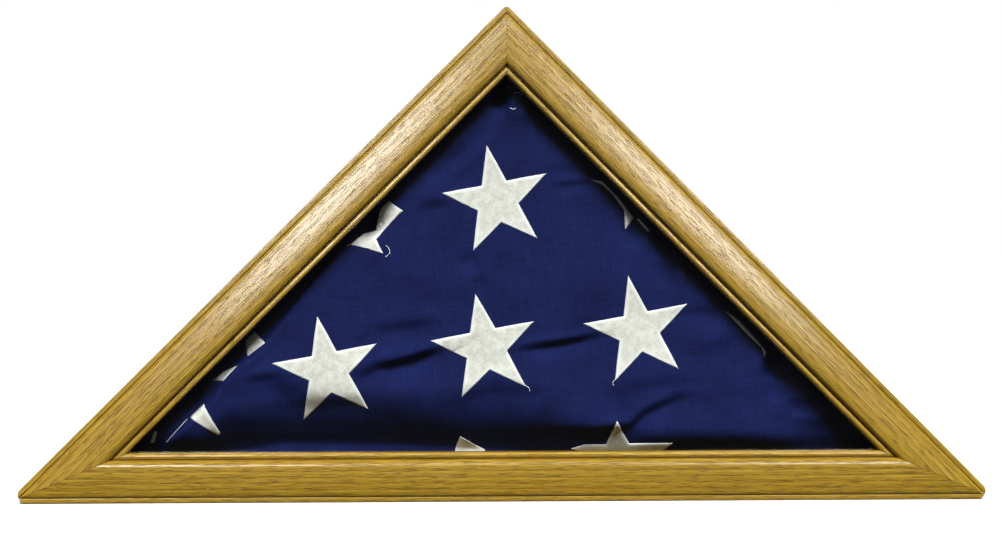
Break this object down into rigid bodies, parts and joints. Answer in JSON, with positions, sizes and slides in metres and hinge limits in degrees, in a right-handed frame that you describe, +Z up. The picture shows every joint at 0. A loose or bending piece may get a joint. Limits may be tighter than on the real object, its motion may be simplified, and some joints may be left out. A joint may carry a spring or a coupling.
{
  "type": "folded flag display case",
  "caption": "Triangular oak shadow box with a moulded, glazed front and a loose back held by turn buttons, holding a flag folded into a triangle.",
  "frame": {"origin": "middle of the base on the surface it stands on, halfway through the depth", "axes": "+X to the right seen from the front, +Y to the back, +Z up; the glazed front faces -Y"},
  "size_m": [0.6482, 0.09, 0.3307],
  "materials": {
    "oak": "oiled and clear lacquered, satin",
    "glass": "clear float",
    "hardboard": "smooth pressed face",
    "black_felt": "felted",
    "flag_cloth": "plain woven cotton with embroidered stars",
    "nickel_steel": "nickel plated",
    "zinc_steel": "bright zinc",
    "rubber": "moulded, matte"
  },
  "bodies": {
    "box": {"moulding_base": "oak", "moulding_left": "oak", "moulding_right": "oak", "box_base": "oak", "box_left": "oak", "box_right": "oak", "mitre_key_left_tip": "oak", "mitre_key_right_tip": "oak", "mitre_key_apex": "oak", "glass_pane": "glass", "glazing_point_base_1": "zinc_steel", "glazing_point_base_2": "zinc_steel", "glazing_point_left_1": "zinc_steel", "glazing_point_left_2": "zinc_steel", "glazing_point_right_1": "zinc_steel", "glazing_point_right_2": "zinc_steel", "button_screw_base_left": "nickel_steel", "button_screw_base_right": "nickel_steel", "button_screw_right_low": "nickel_steel", "button_screw_right_high": "nickel_steel", "button_screw_left_low": "nickel_steel", "button_screw_left_high": "nickel_steel", "hanger_strap_right": "nickel_steel", "hanger_screw_right_upper": "nickel_steel", "hanger_screw_right_lower": "nickel_steel", "hanger_strap_left": "nickel_steel", "hanger_screw_left_upper": "nickel_steel", "hanger_screw_left_lower": "nickel_steel", "wall_bumper_left": "rubber", "wall_bumper_right": "rubber"},
    "back": {"back_panel": "hardboard", "lining_board": "black_felt"},
    "flag": {"folded_flag": "flag_cloth"},
    "button_base_left": {"turn_button_base_left": "nickel_steel"},
    "button_base_right": {"turn_button_base_right": "nickel_steel"},
    "button_right_low": {"turn_button_right_low": "nickel_steel"},
    "button_right_high": {"turn_button_right_high": "nickel_steel"},
    "button_left_low": {"turn_button_left_low": "nickel_steel"},
    "button_left_high": {"turn_button_left_high": "nickel_steel"},
    "ring_right": {"hanger_ring_right": "nickel_steel"},
    "ring_left": {"hanger_ring_left": "nickel_steel"}
  },
  "joints": [
    {"name": "back_lift_off", "type": "slide", "parent": "box", "child": "back", "axis": [0, 1, 0], "range_m": [0, 0.24]},
    {"name": "flag_lift_out", "type": "slide", "parent": "box", "child": "flag", "axis": [0, 1, 0], "range_m": [0, 0.12]},
    {"name": "button_base_left_turn", "type": "hinge", "parent": "box", "child": "button_base_left", "pos_m": [-0.14, 0.04115, 0.00675], "axis": [0, -1, 0], "range_deg": [0, 90]},
    {"name": "button_base_right_turn", "type": "hinge", "parent": "box", "child": "button_base_right", "pos_m": [0.14, 0.04115, 0.00675], "axis": [0, 1, 0], "range_deg": [0, 90]},
    {"name": "button_right_low_turn", "type": "hinge", "parent": "box", "child": "button_right_low", "pos_m": [0.23901, 0.04115, 0.08345], "axis": [0, 1, 0], "range_deg": [0, 90]},
    {"name": "button_right_high_turn", "type": "hinge", "parent": "box", "child": "button_right_high", "pos_m": [0.11173, 0.04115, 0.21072], "axis": [0, 1, 0], "range_deg": [0, 90]},
    {"name": "button_left_low_turn", "type": "hinge", "parent": "box", "child": "button_left_low", "pos_m": [-0.23901, 0.04115, 0.08345], "axis": [0, -1, 0], "range_deg": [0, 90]},
    {"name": "button_left_high_turn", "type": "hinge", "parent": "box", "child": "button_left_high", "pos_m": [-0.11173, 0.04115, 0.21072], "axis": [0, -1, 0], "range_deg": [0, 90]},
    {"name": "ring_right_swing", "type": "hinge", "parent": "box", "child": "ring_right", "pos_m": [0.03395, 0.04265, 0.28851], "axis": [-0.7071, 0, -0.7071], "range_deg": [0, 150]},
    {"name": "ring_left_swing", "type": "hinge", "parent": "box", "child": "ring_left", "pos_m": [-0.03395, 0.04265, 0.28851], "axis": [-0.7071, 0, 0.7071], "range_deg": [0, 150]}
  ],
  "couplings": [
    {"joint": "flag_lift_out", "follows": "back_lift_off", "ratio": 0.5}
  ]
}
